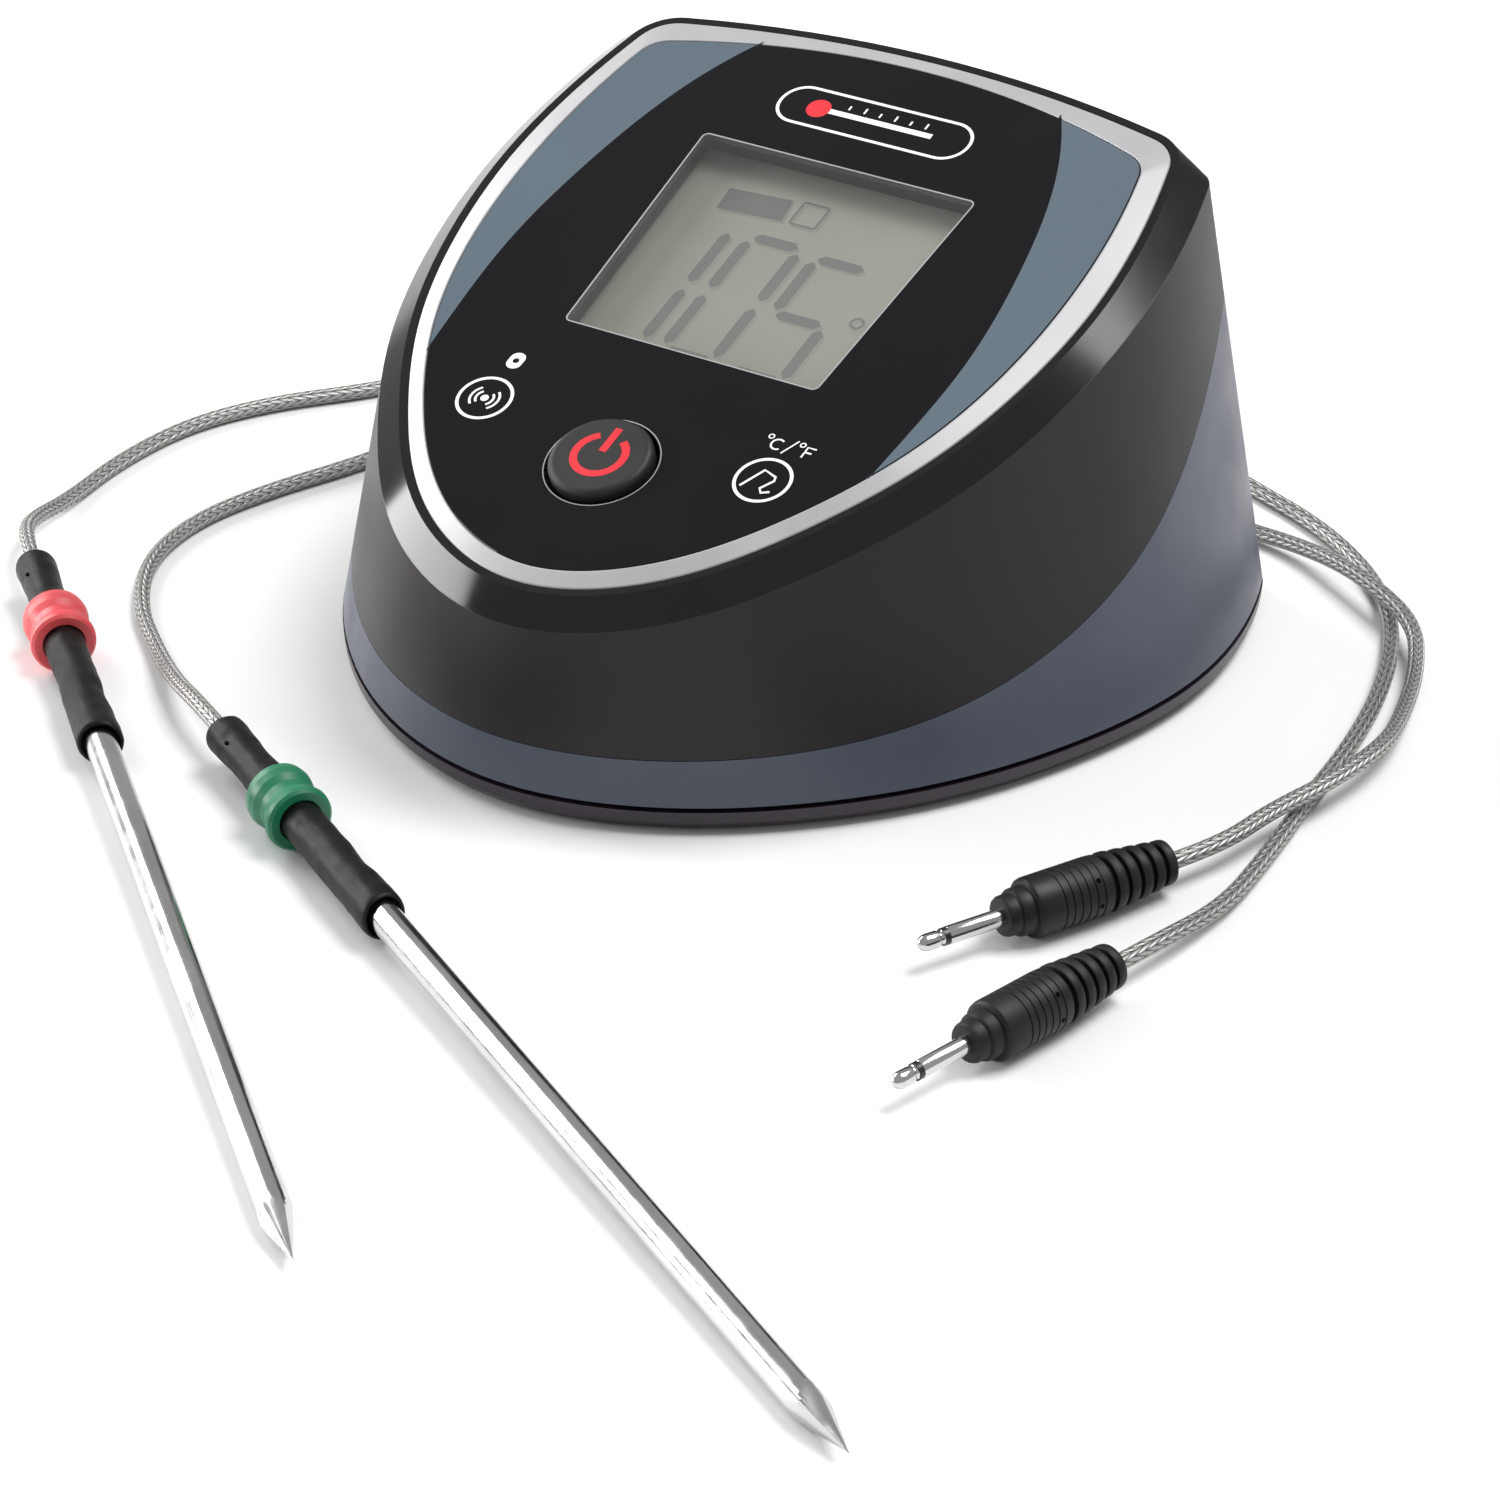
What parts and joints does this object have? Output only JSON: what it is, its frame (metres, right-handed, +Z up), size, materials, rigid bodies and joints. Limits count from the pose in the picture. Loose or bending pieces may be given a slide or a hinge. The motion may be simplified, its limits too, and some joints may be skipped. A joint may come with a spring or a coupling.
{
  "type": "meat thermometer",
  "caption": "Digital meat thermometer for grilling: shield-shaped tabletop display housing with a tilted face, and steel needle probes on braided cables with jack plugs.",
  "frame": {"origin": "on the underside of the base mat, the surface the housing stands on, below the middle of the display", "axes": "+Z up, -Y to the front (the nose of the shield and the button), +X to the right seen from the front"},
  "size_m": [0.2298, 0.2704, 0.0729],
  "materials": {
    "front_shell": "gloss",
    "rear_shell": "satin",
    "base_shell": "satin",
    "mat_rubber": "matte",
    "screw_steel": "satin",
    "trim_silver": "satin",
    "lens_black": "gloss, printed on the back",
    "button_rubber": "matte",
    "inner_plastic": "matte",
    "lcd_glass": "polished",
    "light_guide": "clear",
    "inner_rubber": "matte",
    "board_laminate": "solder mask",
    "chip_black": "matte",
    "can_steel": "satin",
    "cell_jacket": "gloss",
    "spring_steel": "nickel plated",
    "lead_pvc": "satin",
    "socket_plastic": "satin",
    "needle_steel": "polished stainless",
    "bead_glass": "matte",
    "ferrule_steel": "satin",
    "shrink_sleeve": "satin",
    "cable_braid": "braided",
    "tie_black": "matte",
    "boot_black": "matte",
    "jack_steel": "polished",
    "insulator": "gloss",
    "ring_red": "satin silicone",
    "ring_green": "satin silicone"
  },
  "bodies": {
    "housing": {"front_cover": "front_shell", "rear_cover": "rear_shell", "base_plate": "base_shell", "base_mat": "mat_rubber", "base_screws": "screw_steel", "silver_trim": "trim_silver", "face_lens": "lens_black", "button_switch": "inner_plastic", "lcd_glass": "lcd_glass", "lcd_backlight": "light_guide", "lcd_frame": "inner_plastic", "lcd_zebra_strips": "inner_rubber", "touch_pads": "inner_rubber", "main_board": "board_laminate", "board_screws": "screw_steel", "controller_chip": "chip_black", "radio_module": "can_steel", "buzzer": "chip_black", "battery_tray": "inner_plastic", "battery_cell_lower": "cell_jacket", "battery_cell_upper": "cell_jacket", "battery_contacts": "spring_steel", "battery_springs": "spring_steel", "battery_leads": "lead_pvc", "jack_socket_left": "socket_plastic", "jack_socket_right": "socket_plastic", "socket_board": "board_laminate", "socket_screws": "screw_steel", "socket_leads": "lead_pvc"},
    "main_button": {"main_button": "button_rubber", "switch_plunger": "inner_plastic"},
    "battery_door": {"battery_door": "rear_shell"},
    "red_probe": {"red_needle": "needle_steel", "red_thermistor": "bead_glass", "red_ferrule": "ferrule_steel", "red_handle": "shrink_sleeve", "red_cable_to_coil": "cable_braid", "red_cable_coil": "cable_braid", "red_cable_to_plug": "cable_braid", "red_coil_tie": "tie_black", "red_plug_boot": "boot_black", "red_plug_sleeve": "jack_steel", "red_plug_insulator": "insulator", "red_plug_tip": "jack_steel"},
    "red_id_ring": {"red_id_ring": "ring_red"},
    "green_probe": {"green_needle": "needle_steel", "green_thermistor": "bead_glass", "green_ferrule": "ferrule_steel", "green_handle": "shrink_sleeve", "green_cable_to_coil": "cable_braid", "green_cable_coil": "cable_braid", "green_cable_to_plug": "cable_braid", "green_coil_tie": "tie_black", "green_plug_boot": "boot_black", "green_plug_sleeve": "jack_steel", "green_plug_insulator": "insulator", "green_plug_tip": "jack_steel"},
    "green_id_ring": {"green_id_ring": "ring_green"}
  },
  "joints": [
    {"name": "button_press", "type": "slide", "parent": "housing", "child": "main_button", "axis": [0, 0.3486, -0.9373], "range_m": [0, 0.0005], "stiffness_N_per_m": 3000},
    {"name": "door_hinge", "type": "hinge", "parent": "housing", "child": "battery_door", "pos_m": [0, 0.0445, 0.0122], "axis": [-1, 0, 0], "range_deg": [0, 95]},
    {"name": "red_lift", "type": "slide", "parent": "housing", "child": "red_probe", "axis": [0, 0, 1], "range_m": [0, 0.1]},
    {"name": "green_lift", "type": "slide", "parent": "red_probe", "child": "green_probe", "axis": [0, 0, 1], "range_m": [0, 0.1]},
    {"name": "red_ring_slide", "type": "slide", "parent": "red_probe", "child": "red_id_ring", "axis": [-0.7672, 0.6412, 0.0173], "range_m": [-0.006, 0.008]},
    {"name": "green_ring_slide", "type": "slide", "parent": "green_probe", "child": "green_id_ring", "axis": [-0.8781, 0.4782, 0.0175], "range_m": [-0.006, 0.008]}
  ]
}
